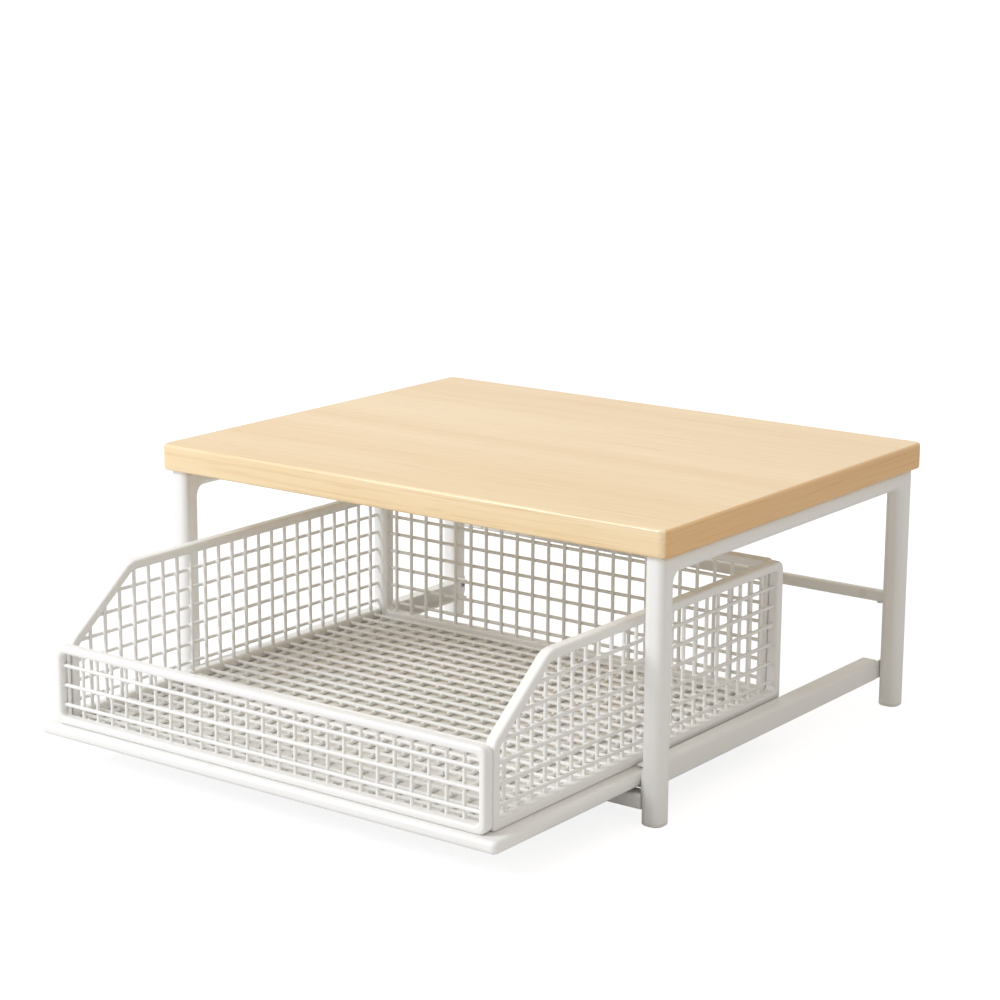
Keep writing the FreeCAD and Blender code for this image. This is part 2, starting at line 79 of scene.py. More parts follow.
def newMaterial(name):
    material = bpy.data.materials.new(name)
    material.use_nodes = True
    material.node_tree.nodes.clear()
    return material, material.node_tree


def addNode(tree, kind, given=(), **settings):
    # given pairs each input with a value, or with the output that leads to it
    node = tree.nodes.new(kind)
    for setting, value in settings.items():
        setattr(node, setting, value)
    for socket, value in dict(given).items():
        if isinstance(value, bpy.types.NodeSocket):
            tree.links.new(value, node.inputs[socket])
        else:
            node.inputs[socket].default_value = value
    return node


def worked(tree, operation, *given):
    return addNode(tree, "ShaderNodeMath", enumerate(given), operation=operation).outputs[0]


def mixed(tree, share, first, second, blend="MIX", kind="RGBA"):
    given = {"Factor": share, "A": first, "B": second}
    return addNode(tree, "ShaderNodeMix", given, data_type=kind, blend_type=blend).outputs["Result"]


def mapped(tree, value, toLow, toHigh, fromLow=0, fromHigh=1):
    given = {"Value": value, "From Min": fromLow, "From Max": fromHigh, "To Min": toLow, "To Max": toHigh}
    return addNode(tree, "ShaderNodeMapRange", given).outputs["Result"]


def noise(tree, place, stretch, scale, detail, distortion=0):
    drawn = addNode(tree, "ShaderNodeMapping", {"Vector": place, "Scale": stretch}).outputs["Vector"]
    given = {"Vector": drawn, "Scale": scale, "Detail": detail, "Distortion": distortion}
    return addNode(tree, "ShaderNodeTexNoise", given).outputs["Fac"]


def bumped(tree, height, strength, depth, **settings):
    given = {"Height": height, "Strength": strength, "Distance": depth}
    return addNode(tree, "ShaderNodeBump", given, **settings).outputs["Normal"]


roomLight = {
    "sky": 0.59,           # even light from all around
    "skyColour": "fff9f2",
    "target": (0, 0, 0.1),
    "lamps": {
        "keyLamp": {"place": (-1.53, -2.38, 1.97), "size": 1.4, "watts": 64, "tint": "f3f8ff"},
        "topLamp": {"place": (-0.2, 0.2, 2.6), "size": 2.2, "watts": 11, "tint": "ffffff"},
    },
}
world = bpy.data.worlds.new("room")
bpy.context.scene.world = world
world.use_nodes = True
tree = world.node_tree
tree.nodes.clear()
ray = addNode(tree, "ShaderNodeLightPath").outputs
seen = worked(tree, "MAXIMUM", ray["Is Camera Ray"], ray["Is Glossy Ray"])
seen = worked(tree, "MAXIMUM", seen, ray["Is Transmission Ray"])
skyLight = addNode(tree, "ShaderNodeBackground", {
    "Color": colour(roomLight["skyColour"]), "Strength": roomLight["sky"]})
skyWhite = addNode(tree, "ShaderNodeBackground", {"Color": colour("ffffff")})
skyBoth = addNode(tree, "ShaderNodeMixShader", {0: seen, 1: skyLight.outputs[0], 2: skyWhite.outputs[0]})
addNode(tree, "ShaderNodeOutputWorld", {"Surface": skyBoth.outputs[0]})

for name, look in roomLight["lamps"].items():
    lamp = bpy.data.objects.new(name, bpy.data.lights.new(name, "AREA"))
    lamp.data.shape = "DISK"
    lamp.data.size = look["size"]
    lamp.data.energy = look["watts"]
    lamp.data.color = colour(look["tint"])[:3]
    lamp.location = look["place"]
    ahead = Vector(roomLight["target"]) - Vector(look["place"])
    lamp.rotation_euler = ahead.to_track_quat("-Z", "Y").to_euler()
    bpy.context.scene.collection.objects.link(lamp)


def meshOf(bm, name):
    mesh = bpy.data.meshes.new(name)
    bm.to_mesh(mesh)
    bm.free()
    return mesh


floorLook = {
    "size": 40,
    "albedo": 0.8,
    "shadowShare": 0.34,   # how strongly the camera sees shadows on it
    "glow": 0.84,          # lifts the rest of it to white
}
floorMaterial, tree = newMaterial("floorPaper")
floorBase = addNode(tree, "ShaderNodeBsdfDiffuse", {"Color": (floorLook["albedo"],) * 3 + (1,)})
floorShade = addNode(tree, "ShaderNodeBsdfDiffuse", {"Color": (floorLook["shadowShare"],) * 3 + (1,)})
floorGlow = addNode(tree, "ShaderNodeEmission", {"Strength": floorLook["glow"]})
floorLifted = addNode(tree, "ShaderNodeAddShader", {0: floorShade.outputs[0], 1: floorGlow.outputs[0]})
seen = addNode(tree, "ShaderNodeLightPath").outputs["Is Camera Ray"]
floorBoth = addNode(tree, "ShaderNodeMixShader", {
    0: seen, 1: floorBase.outputs[0], 2: floorLifted.outputs[0]})
addNode(tree, "ShaderNodeOutputMaterial", {"Surface": floorBoth.outputs[0]})
bm = bmesh.new()
bmesh.ops.create_grid(bm, x_segments=1, y_segments=1, size=floorLook["size"] / 2)
floorPaper = bpy.data.objects.new("floorPaper", meshOf(bm, "floorPaper"))
floorPaper.data.materials.append(floorMaterial)
bpy.context.scene.collection.objects.link(floorPaper)
print("camera, light and floor ready")


def evenFinish(name, look):
    # cloud is a faint unevenness of the tone and fine is the surface itself, each a scale and a detail;
    # roughness goes from the first number to the second, and bump has a strength and a depth
    material, tree = newMaterial(name)
    place = addNode(tree, "ShaderNodeTexCoord").outputs["Object"]
    cloud, fine = (noise(tree, place, look["stretch"], *look[part]) for part in ("cloud", "fine"))
    body = addNode(tree, "ShaderNodeBsdfPrincipled", {
        "Base Color": mixed(tree, cloud, colour(look["tone"]), colour(look["toneDeep"])),
        "Roughness": mapped(tree, fine, *look["roughness"]),
        "Normal": bumped(tree, fine, *look["bump"]),
        "Metallic": look["metal"],
        "Specular IOR Level": look["specular"],
    })
    addNode(tree, "ShaderNodeOutputMaterial", {"Surface": body.outputs[0]})
    return material


# sprayed powder: fine orange peel over an even white
tubeCoat = evenFinish("whitePowderCoat", {
    "tone": "f4f4f2", "toneDeep": "efeeeb", "cloud": (9, 3), "fine": (900, 2), "stretch": (1, 1, 1),
    "roughness": (0.37, 0.49), "bump": (0.25, 0.12 * mm), "metal": 0, "specular": 0.45,
})
wireCoat = evenFinish("whiteWireCoat", {
    "tone": "f4f4f2", "toneDeep": "eeede9", "cloud": (40, 3), "fine": (1400, 2), "stretch": (1, 1, 1),
    "roughness": (0.41, 0.53), "bump": (0.3, 0.1 * mm), "metal": 0, "specular": 0.45,
})
trayCoat = evenFinish("whiteTrayCoat", {
    "tone": "f4f4f2", "toneDeep": "f0efec", "cloud": (7, 3), "fine": (750, 2), "stretch": (1, 1, 1),
    "roughness": (0.4, 0.52), "bump": (0.22, 0.12 * mm), "metal": 0, "specular": 0.45,
})
# a small number in stretch draws the pattern out along that axis
nylonSlide = evenFinish("whiteNylon", {
    "tone": "efede8", "toneDeep": "e4e1da", "cloud": (300, 3), "fine": (300, 3), "stretch": (1, 0.2, 1),
    "roughness": (0.5, 0.65), "bump": (0.2, 0.1 * mm), "metal": 0, "specular": 0.5,
})
paleRubber = evenFinish("paleSilicone", {
    "tone": "f0eeea", "toneDeep": "e6e3dd", "cloud": (500, 3), "fine": (500, 3), "stretch": (1, 1, 1),
    "roughness": (0.65, 0.8), "bump": (0.3, 0.1 * mm), "metal": 0, "specular": 0.5,
})
zincPlate = evenFinish("zincPlate", {
    "tone": "c4c4c2", "toneDeep": "a5a5a3", "cloud": (700, 3), "fine": (700, 3), "stretch": (1, 1, 0.2),
    "roughness": (0.27, 0.42), "bump": (0.15, 0.1 * mm), "metal": 1, "specular": 0.5,
})


def mapleFoil(look):
    material, tree = newMaterial("lightMapleBoard")
    place = addNode(tree, "ShaderNodeTexCoord").outputs["Object"]
    normal = addNode(tree, "ShaderNodeNewGeometry").outputs["Normal"]
    facing = addNode(tree, "ShaderNodeSeparateXYZ", {"Vector": normal}).outputs
    endward, frontward = (worked(tree, "ABSOLUTE", facing[axis]) for axis in ("X", "Y"))
    # painted shade: end faces get a darker, deeper tone by which way they face; the same mask turns their
    # grain
    endGrainAndShadeMask = worked(
        tree, "MULTIPLY", worked(tree, "GREATER_THAN", endward, look["endFrom"]),
        worked(tree, "GREATER_THAN", endward, frontward))
    topShadeMask = worked(tree, "GREATER_THAN", facing["Z"], look["topFrom"])
    # the end bands carry their grain along the depth of the board
    turned = addNode(tree, "ShaderNodeMapping", {
        "Vector": place, "Rotation": (0, 0, math.radians(90)), "Location": look["endShift"]})
    along = mixed(tree, endGrainAndShadeMask, place, turned.outputs["Vector"], kind="VECTOR")
    broad, fine, pores = (noise(tree, along, *look[grain]) for grain in ("bands", "lines", "pores"))
    bands = addNode(tree, "ShaderNodeValToRGB", {"Fac": broad})
    for element, position, tone in zip(bands.color_ramp.elements, look["bandRange"], ("light", "middle")):
        element.position = position
        element.color = colour(look[tone])
    lines = mapped(tree, fine, 0, look["lineShare"], *look["lineRange"])
    pits = mapped(tree, pores, 0, look["poreShare"], *look["poreRange"])
    wash = mixed(tree, lines, bands.outputs["Color"], colour(look["line"]))
    wash = mixed(tree, pits, wash, colour(look["pore"]))
    # painted shade on the ends and the top, multiplied into the wood's colour
    for shadedZone, tint in ((endGrainAndShadeMask, look["endShadeTone"]), (topShadeMask, look["topShadeTone"])):
        wash = mixed(tree, shadedZone, wash, colour(tint), "MULTIPLY")
    wood = addNode(tree, "ShaderNodeBsdfPrincipled", {
        "Base Color": wash,
        "Roughness": mapped(tree, fine, *look["roughness"]),
        "Normal": bumped(tree, pits, *look["bump"], invert=True),
        "Specular IOR Level": look["specular"],
        "Coat Weight": look["coat"],
        "Coat Roughness": look["coatRoughness"],
    })
    addNode(tree, "ShaderNodeOutputMaterial", {"Surface": wood.outputs[0]})
    return material


boardFoil = mapleFoil({
    "light": "f6e3c1", "middle": "eed3a6", "line": "dab27a", "pore": "cba069",
    # growth bands, grain lines and short pores: stretch, scale, detail and distortion of each
    "bands": ((0.5, 9, 9), 2.2, 4, 0.6),
    "lines": ((1.6, 100, 100), 5, 6, 0.2),
    "pores": ((9, 420, 420), 2, 2, 0),
    "bandRange": (0.3, 0.72), "lineRange": (0.5, 0.75), "poreRange": (0.62, 0.72),    # from none to full
    "lineShare": 0.42, "poreShare": 0.35,
    "endShadeTone": "f9dfbb", "topShadeTone": "f8ecd0",    # painted shade: the ends and the top are made a deeper tone than the front by which way they face, and the rounded top rims, left out of the top's shade, read as a painted highlight
    "endFrom": 0.24, "topFrom": 0.97,            # how far the surface faces that way where its painted shade starts; the ends' turned grain starts there too
    "endShift": (0.4, 0.7, 0.2),                 # moves the ends to another part of the pattern
    "roughness": (0.25, 0.41), "bump": (0.12, 0.2 * mm), "specular": 0.36,
    "coat": 0.35, "coatRoughness": 0.1,
})
print("finishes ready")


def bevel(bm, parts, radius, segments, affect="EDGES"):
    bmesh.ops.bevel(
        bm, geom=parts, offset=radius, offset_type="OFFSET", segments=segments, profile=0.5,
        affect=affect, clamp_overlap=False, material=-1)


def pull(bm, faces, way):
    grown = bmesh.ops.extrude_face_region(bm, geom=faces)["geom"]
    bmesh.ops.translate(bm, vec=way, verts=[g for g in grown if isinstance(g, bmesh.types.BMVert)])


def outlineFace(bm, corners, place, shrink=0, segments=6):
    # corners are (u, v, radius); place turns (u, v) into a point
    before = set(bm.faces)
    face = bm.faces.new([bm.verts.new(place(u, v)) for u, v, radius in corners])
    order = list(face.verts)
    bm.normal_update()
    if shrink:
        bmesh.ops.inset_region(bm, faces=[face], thickness=shrink, use_even_offset=True, use_boundary=True)
        order = list(face.verts)
        ring = [f for f in bm.faces if f not in before and f != face]
        bmesh.ops.delete(bm, geom=ring, context="FACES")
    for vert, (u, v, radius) in zip(order, corners):
        if radius:
            ends = [edge.other_vert(vert).co - vert.co for edge in vert.link_edges]
            reach = radius / math.tan(ends[0].angle(ends[1]) / 2)
            bevel(bm, [vert], reach, segments, "VERTICES")
    return [f for f in bm.faces if f not in before][0]


def atLevel(axis, level):
    # a test for edges and faces that lie at this level of the axis
    return lambda part: all(abs(v.co[axis] - level) < tiny for v in part.verts)


def sharpEdges(bm, test, least=50):
    return [
        e for e in bm.edges
        if len(e.link_faces) == 2 and e.calc_face_angle(0) > math.radians(least) and test(e)
    ]


def edgesAlong(bm, axis):
    return [e for e in bm.edges if abs(e.verts[0].co[axis] - e.verts[1].co[axis]) > tiny]


def finishPiece(name, bm, body, nodes, material, sharpAngle=38):
    bmesh.ops.recalc_face_normals(bm, faces=bm.faces)
    mesh = meshOf(bm, name)
    for polygon in mesh.polygons:
        polygon.use_smooth = True
    mesh.set_sharp_from_angle(angle=math.radians(sharpAngle))
    mesh.materials.append(material)
    piece = bpy.data.objects.new(name, mesh)
    bpy.context.scene.collection.objects.link(piece)
    weighted = piece.modifiers.new("evenShading", "WEIGHTED_NORMAL")
    weighted.keep_sharp = True
    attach(piece, body)
    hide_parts(*nodes)
    return piece


def addBlock(bm, low, high):
    low, high = Vector(low), Vector(high)
    made = bmesh.ops.create_cube(bm, size=1)["verts"]
    bmesh.ops.scale(bm, vec=high - low, verts=made)
    bmesh.ops.translate(bm, vec=(high + low) / 2, verts=made)


def addRod(bm, start, end, radius, segments=12):
    start, end = Vector(start), Vector(end)
    turn = (end - start).to_track_quat("Z", "Y").to_matrix().to_4x4()
    bmesh.ops.create_cone(
        bm, cap_ends=True, segments=segments, radius1=radius, radius2=radius, depth=(end - start).length,
        matrix=Matrix.Translation((start + end) / 2) @ turn)


def looseParts(node):
    # the box of each separate solid in a CAD node, from a merged copy of its mesh
    bm = bmesh.new()
    bm.from_mesh(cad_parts[node].data)
    bmesh.ops.remove_doubles(bm, verts=bm.verts, dist=tiny / 2)
    boxes = []
    for start in bm.verts:
        if start.tag:
            continue
        start.tag = True
        found = [start]
        for vert in found:
            for near in (edge.other_vert(vert) for edge in vert.link_edges):
                if not near.tag:
                    near.tag = True
                    found.append(near)
        boxes.append([
            Vector([pick(vert.co[i] for vert in found) for i in range(3)]) for pick in (min, max)])
    bm.free()
    return boxes


def cutAway(bm, cutter):
    # the first form less the second
    made = []
    for form in (bm, cutter):
        bmesh.ops.recalc_face_normals(form, faces=form.faces)
        made.append(bpy.data.objects.new("form", meshOf(form, "form")))
        bpy.context.scene.collection.objects.link(made[-1])
    less = made[0].modifiers.new("less", "BOOLEAN")
    less.object = made[1]
    less.operation = "DIFFERENCE"
    less.solver = "EXACT"
    result = bpy.data.meshes.new_from_object(made[0].evaluated_get(bpy.context.evaluated_depsgraph_get()))
    bm = bmesh.new()
    bm.from_mesh(result)
    bpy.data.meshes.remove(result)
    for form in made:
        mesh = form.data
        bpy.data.objects.remove(form)
        bpy.data.meshes.remove(mesh)
    return bm


boardLook = {"corner": 7.5 * mm, "topRound": 2.6 * mm, "underRound": 2 * mm}
boardLow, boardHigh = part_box("top_board")
bm = bmesh.new()
addBlock(bm, boardLow, boardHigh)
bevel(bm, edgesAlong(bm, zAxis), boardLook["corner"], segments=8)
bevel(bm, sharpEdges(bm, atLevel(zAxis, boardHigh.z)), boardLook["topRound"], segments=6)
bevel(bm, sharpEdges(bm, atLevel(zAxis, boardLow.z)), boardLook["underRound"], segments=3)
finishPiece("woodBoard", bm, "stand", ["top_board"], boardFoil)
print("board done")


# side frames of round-cornered tube, with their feet
tubeLook = {
    "size": 18 * mm, "round": 7 * mm, "wall": 1.2 * mm, "railHeight": 16 * mm, "bend": 8 * mm,
    "well": 5 * mm,        # radius of the hole below each of the board's screws
    "wellLead": 1 * mm,    # the drill starts this far below the rail
}
footLook = {
    "height": 3 * mm, "edge": 1.4 * mm,
    "bore": 14 * mm,       # how deep the legs are open
    "clear": 0.1 * mm,     # between the plug and the tube
}
for side, word in ((1, "right"), (-1, "left")):
    low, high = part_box("side_frame_" + word)
    outerX = high.x if side > 0 else low.x
    innerX = outerX - side * tubeLook["size"]
    frontLegY, backLegY = low.y + tubeLook["size"], high.y - tubeLook["size"]
    railLow, bend = high.z - tubeLook["railHeight"], tubeLook["bend"]
    corners = [
        (low.y, low.z, 0), (frontLegY, low.z, 0), (frontLegY, railLow, bend), (backLegY, railLow, bend),
        (backLegY, low.z, 0), (high.y, low.z, 0), (high.y, high.z, 0), (low.y, high.z, 0),
    ]
    bm = bmesh.new()
    face = outlineFace(bm, corners, lambda u, v: Vector((innerX, u, v)), segments=10)
    pull(bm, [face], xWay * (outerX - innerX))
    bmesh.ops.recalc_face_normals(bm, faces=bm.faces)
    onInside, onOutside = atLevel(xAxis, innerX), atLevel(xAxis, outerX)
    onGround = atLevel(zAxis, low.z)
    rims = sharpEdges(bm, lambda e: (onInside(e) or onOutside(e)) and not onGround(e))
    bevel(bm, rims, tubeLook["round"], segments=7)
    for end in [f for f in bm.faces if onGround(f)]:
        bmesh.ops.inset_region(bm, faces=[end], thickness=tubeLook["wall"], use_even_offset=True)
        pull(bm, [end], zWay * footLook["bore"])
    wells = bmesh.new()                       # a screwdriver reaches the board's screws through these
    wellLow, wellTop = railLow - tubeLook["wellLead"], boardLow.z - tubeLook["wall"]
    for partLow, partHigh in looseParts("board_screws"):
        if partLow.x * side > 0:
            x, y = ((partLow + partHigh) / 2).xy
            addRod(wells, (x, y, wellLow), (x, y, wellTop), tubeLook["well"], segments=32)
    bm = cutAway(bm, wells)
    finishPiece("tubeFrame_" + word, bm, "stand", ["side_frame_" + word], tubeCoat)
    for depthWord in ("front", "back"):
        node = "foot_plug_" + depthWord + "_" + word
        low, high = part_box(node)
        bm = bmesh.new()
        addBlock(bm, low, (high.x, high.y, footLook["height"]))
        bevel(bm, edgesAlong(bm, zAxis), tubeLook["round"], segments=7)
        bevel(bm, sharpEdges(bm, atLevel(zAxis, low.z)), footLook["edge"], segments=3)
        inner = tubeLook["wall"] + footLook["clear"]
        plug = bmesh.new()
        plugLow = (low.x + inner, low.y + inner, footLook["height"])
        addBlock(plug, plugLow, (high.x - inner, high.y - inner, high.z))
        bevel(plug, edgesAlong(plug, zAxis), tubeLook["round"] - inner, segments=4)
        plugMesh = meshOf(plug, "plug")
        bm.from_mesh(plugMesh)
        bpy.data.meshes.remove(plugMesh)
        finishPiece("foot_" + depthWord + "_" + word, bm, "stand", [node], nylonSlide)
print("side frames and feet done")


barLook = {"round": 2.5 * mm}
for node, name in (("front_crossbar", "frontBar"), ("back_crossbar", "backBar")):
    low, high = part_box(node)
    bm = bmesh.new()
    addBlock(bm, low, high)
    bevel(bm, edgesAlong(bm, xAxis), barLook["round"], segments=5)
    finishPiece(name, bm, "stand", [node], tubeCoat)
print("crossbars done")


# bent channels with a tab at each leg
runnerLook = {
    "wall": 1.5 * mm, "bend": 2.5 * mm,
    "webEnd": 176.5 * mm,      # from the board's middle to the channel's end
    "tabRise": 1.4 * mm,       # the tabs start this far inside the channel's height, above and below
    "tabTrim": 2.5 * mm,       # and end this far short of the CAD tabs
}
wall, bend = runnerLook["wall"], runnerLook["bend"]
rise, trim = runnerLook["tabRise"], runnerLook["tabTrim"]
boardMiddleY = (boardLow.y + boardHigh.y) / 2
startY, endY = boardMiddleY - runnerLook["webEnd"], boardMiddleY + runnerLook["webEnd"]
for side, word in ((1, "right"), (-1, "left")):
    low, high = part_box("runner_" + word)
    webX, edgeX = (high.x, low.x) if side > 0 else (low.x, high.x)
    innerX = webX - side * wall
    corners = [
        (edgeX, low.z, 0), (webX, low.z, bend), (webX, high.z, bend), (edgeX, high.z, 0),
        (edgeX, high.z - wall, 0), (innerX, high.z - wall, bend - wall),
        (innerX, low.z + wall, bend - wall), (edgeX, low.z + wall, 0),
    ]
    bm = bmesh.new()
    face = outlineFace(bm, corners, lambda u, v: Vector((u, startY, v)), segments=5)
    pull(bm, [face], yWay * (endY - startY))
    lowX, highX = sorted((webX, innerX))
    for tabStart, tabEnd in ((low.y + trim, startY), (endY, high.y - trim)):
        addBlock(bm, (lowX, tabStart, low.z + rise), (highX, tabEnd, high.z - rise))
    finishPiece("channelRunner_" + word, bm, "stand", ["runner_" + word], tubeCoat)
print("runners done")


def rectangle(low, high):
    return [(low[0], low[1]), (high[0], low[1]), (high[0], high[1]), (low[0], high[1])]


# pan folded from sheet
trayLook = {"sheet": 1.2 * mm, "corner": 5 * mm, "round": 4 * mm, "flange": 6 * mm}
trayLow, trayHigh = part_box("drawer_tray")
corners = [(x, y, trayLook["corner"]) for x, y in rectangle(trayLow.xy, trayHigh.xy)]
bm = bmesh.new()
face = outlineFace(bm, corners, lambda u, v: Vector((u, v, trayLow.z)), segments=8)
pull(bm, [face], zWay * (trayHigh.z - trayLow.z))
bmesh.ops.recalc_face_normals(bm, faces=bm.faces)
for level in (trayHigh.z, trayLow.z):
    bevel(bm, sharpEdges(bm, atLevel(zAxis, level)), trayLook["round"], segments=6)
onUnderside = atLevel(zAxis, trayLow.z)
under = [f for f in bm.faces if onUnderside(f)]
flatFlange = trayLook["flange"] - trayLook["round"]
bmesh.ops.inset_region(bm, faces=under, thickness=flatFlange, use_even_offset=True)
bmesh.ops.delete(bm, geom=under, context="FACES")
tray = finishPiece("sheetTray", bm, "drawer", ["drawer_tray"], trayCoat)
fold = tray.modifiers.new("sheet", "SOLIDIFY")
fold.thickness = trayLook["sheet"]
fold.offset = -1
fold.use_even_offset = True
tray.modifiers.move(1, 0)
print("tray done")


frameLook = {
    "frontBar": 6.5 * mm, "sideBar": 8 * mm, "outerRound": 2.6 * mm, "innerRound": 2.2 * mm,
    "frontCorner": 7 * mm, "frontWindow": 4.5 * mm,
    "lowCorner": 3 * mm, "windowCorner": 3 * mm, "rearTop": 8 * mm,
    "slopeRun": 68 * mm,   # length of the side panels' sloping front, seen from above
    "slopeLow": 12 * mm, "slopeHigh": 18 * mm,    # radii of its two bends
    "seam": 0.9 * mm,      # between the front panel and the side panels
}
frontLow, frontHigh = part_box("front_panel_frame")
sideLow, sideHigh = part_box("side_panel_frame_right")
backLow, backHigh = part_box("back_panel_frame")
barDepth = frontHigh.y - frontLow.y
halfWidth = frontHigh.x
trayTop = frontLow.z
frontBar, sideBar = frameLook["frontBar"], frameLook["sideBar"]
sideFront = sideLow.y + frameLook["seam"]
frontCorners = rectangle((-halfWidth, trayTop), (halfWidth, frontHigh.z))
backCorners = rectangle((backLow.x, trayTop), (backHigh.x, backHigh.z))
sideCorners = [
    (sideFront, trayTop), (sideHigh.y, trayTop), (sideHigh.y, sideHigh.z),
    (sideLow.y + frameLook["slopeRun"], sideHigh.z), (sideFront, frontHigh.z),
]


# each gives the point at (u, v) of a panel, w behind its outer face
def atFront(u, v, w):
    return Vector((u, frontLow.y + w, v))


def atRight(u, v, w):
    return Vector((halfWidth - w, u, v))


def atLeft(u, v, w):
    return Vector((-halfWidth + w, u, v))


def atBack(u, v, w):
    return Vector((u, backHigh.y - w, v))


def barFrame(name, node, corners, outerRadii, windowRadii, bar, place, way):
    # way is the direction of w
    def onFace(u, v):
        return place(u, v, 0)

    bm = bmesh.new()
    outer = outlineFace(bm, [(u, v, r) for (u, v), r in zip(corners, outerRadii)], onFace)
    window = outlineFace(bm, [(u, v, r) for (u, v), r in zip(corners, windowRadii)], onFace, shrink=bar)
    edges = list(outer.edges) + list(window.edges)
    bmesh.ops.delete(bm, geom=[outer, window], context="FACES_ONLY")
    ring = bmesh.ops.bridge_loops(bm, edges=edges)["faces"]
    pull(bm, ring, way * barDepth)
    bmesh.ops.recalc_face_normals(bm, faces=bm.faces)
    axis = max(range(3), key=lambda i: abs(way[i]))
    outerLevel, innerLevel = place(0, 0, 0)[axis], place(0, 0, barDepth)[axis]
    bevel(bm, sharpEdges(bm, atLevel(axis, outerLevel)), frameLook["outerRound"], segments=6)
    bevel(bm, sharpEdges(bm, atLevel(axis, innerLevel)), frameLook["innerRound"], segments=4)
    finishPiece(name, bm, "drawer", [node], tubeCoat)


lowCorner, windowCorner = frameLook["lowCorner"], frameLook["windowCorner"]
slopeHigh, slopeLow = frameLook["slopeHigh"], frameLook["slopeLow"]
sideOuter = [lowCorner, lowCorner, frameLook["rearTop"], slopeHigh, slopeLow]
sideWindow = [windowCorner, windowCorner, windowCorner, slopeHigh - sideBar, slopeLow - sideBar]
barFrame(
    "frontFrame", "front_panel_frame", frontCorners, [frameLook["frontCorner"]] * 4,
    [frameLook["frontWindow"]] * 4, frontBar, atFront, yWay)
for word, place, way in (("right", atRight, -xWay), ("left", atLeft, xWay)):
    barFrame(
        "sideFrame_" + word, "side_panel_frame_" + word, sideCorners, sideOuter, sideWindow,
        sideBar, place, way)
barFrame(
    "backFrame", "back_panel_frame", backCorners, [lowCorner] * 4, [windowCorner] * 4,
    sideBar, atBack, -yWay)
print("basket frames done")


wireLook = {
    "thick": 3 * mm, "pitch": 16.7 * mm, "margin": 8 * mm,
    "frontPitch": 15.6 * mm, "frontMargin": 1.7 * mm,
    "firstLevel": 15.5 * mm, "levelPitch": 15.9 * mm,
    "inset": 0.6 * mm,     # between the uprights and the frame's inner face
    "sink": 1.5 * mm,      # how far the wires' ends go into the bars
    "bite": 0.1 * mm,      # how far crossing wires go into each other
    "weld": 1.75 * mm,     # radius of the bead at a crossing
    "spare": 0.0001,       # keeps the last wire where the pitches fit exactly
}
wireRadius = wireLook["thick"] / 2


def wirePlaces(low, high, pitch=wireLook["pitch"], margin=wireLook["margin"]):
    count = int((high - low - 2 * margin) / pitch + wireLook["spare"]) + 1
    first = (low + high - (count - 1) * pitch) / 2
    return [first + i * pitch for i in range(count)]


def levelPlaces(high):
    first, pitch = trayTop + wireLook["firstLevel"], wireLook["levelPitch"]
    count = int((high - wireLook["margin"] - first) / pitch + wireLook["spare"]) + 1
    return [first + i * pitch for i in range(count)]


def addWires(bm, place, uPlaces, vPlaces, uEnds, vEnds, uprightW, levelW):
    for u in uPlaces:
        addRod(bm, place(u, vEnds[0], uprightW), place(u, vEnds[1], uprightW), wireRadius)
    for v in vPlaces:
        addRod(bm, place(uEnds[0], v, levelW), place(uEnds[1], v, levelW), wireRadius)
    for u in uPlaces:
        for v in vPlaces:
            middle = Matrix.Translation(place(u, v, (uprightW + levelW) / 2))
            bmesh.ops.create_icosphere(bm, subdivisions=2, radius=wireLook["weld"], matrix=middle)


def wirePanel(name, node, corners, bar, place, pitch, margin, slope=None):
    bm = bmesh.new()
    lowU, highU = min(u for u, v in corners) + bar, max(u for u, v in corners) - bar
    lowV, highV = min(v for u, v in corners) + bar, max(v for u, v in corners) - bar
    sink = wireLook["sink"]
    uprightW = barDepth - wireLook["inset"] - wireRadius
    levelW = uprightW - wireLook["thick"] + wireLook["bite"]
    addWires(
        bm, place, wirePlaces(lowU, highU, pitch, margin), levelPlaces(highV),
        (lowU - sink, highU + sink), (lowV - sink, highV + sink), uprightW, levelW)
    if slope:                                  # trim to the sloping bar
        point, normal = slope
        cut = bmesh.ops.bisect_plane(
            bm, geom=list(bm.verts) + list(bm.edges) + list(bm.faces), plane_co=point, plane_no=normal,
            clear_outer=True)["geom_cut"]
        bmesh.ops.holes_fill(bm, edges=[g for g in cut if isinstance(g, bmesh.types.BMEdge)])
    finishPiece(name, bm, "drawer", [node], wireCoat, sharpAngle=60)


slopeStart = Vector((0, sideLow.y, frontHigh.z))
slopeWay = Vector((0, frameLook["slopeRun"], sideHigh.z - frontHigh.z)).normalized()
slopeNormal = Vector((0, -slopeWay.z, slopeWay.y))
slopeCut = (slopeStart - slopeNormal * (sideBar - wireLook["sink"]), slopeNormal)
pitch, margin = wireLook["pitch"], wireLook["margin"]
wirePanel(
    "frontMesh", "front_panel_mesh", frontCorners, frontBar, atFront, wireLook["frontPitch"],
    wireLook["frontMargin"])
for word, place in (("right", atRight), ("left", atLeft)):
    wirePanel(
        "sideMesh_" + word, "side_panel_mesh_" + word, sideCorners, sideBar, place, pitch, margin,
        slopeCut)
wirePanel("backMesh", "back_panel_mesh", backCorners, sideBar, atBack, pitch, margin)
low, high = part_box("floor_mesh")
bm = bmesh.new()
addWires(
    bm, lambda u, v, w: Vector((u, v, w)), wirePlaces(-halfWidth + barDepth, halfWidth - barDepth),
    wirePlaces(frontHigh.y, backLow.y), (low.x, high.x), (low.y, high.y),
    low.z + wireRadius, high.z - wireRadius)
finishPiece("floorMesh", bm, "drawer", ["floor_mesh"], wireCoat, sharpAngle=60)
print("wire meshes done")


def addRing(bm, place, way, radius, segments):
    # the edges of a circle that faces along the way
    spot = Matrix.Translation(place) @ way.to_track_quat("Z", "Y").to_matrix().to_4x4()
    ring = bmesh.ops.create_circle(
        bm, cap_ends=False, segments=segments, radius=radius, matrix=spot)["verts"]
    return list(dict.fromkeys(edge for vert in ring for edge in vert.link_edges))


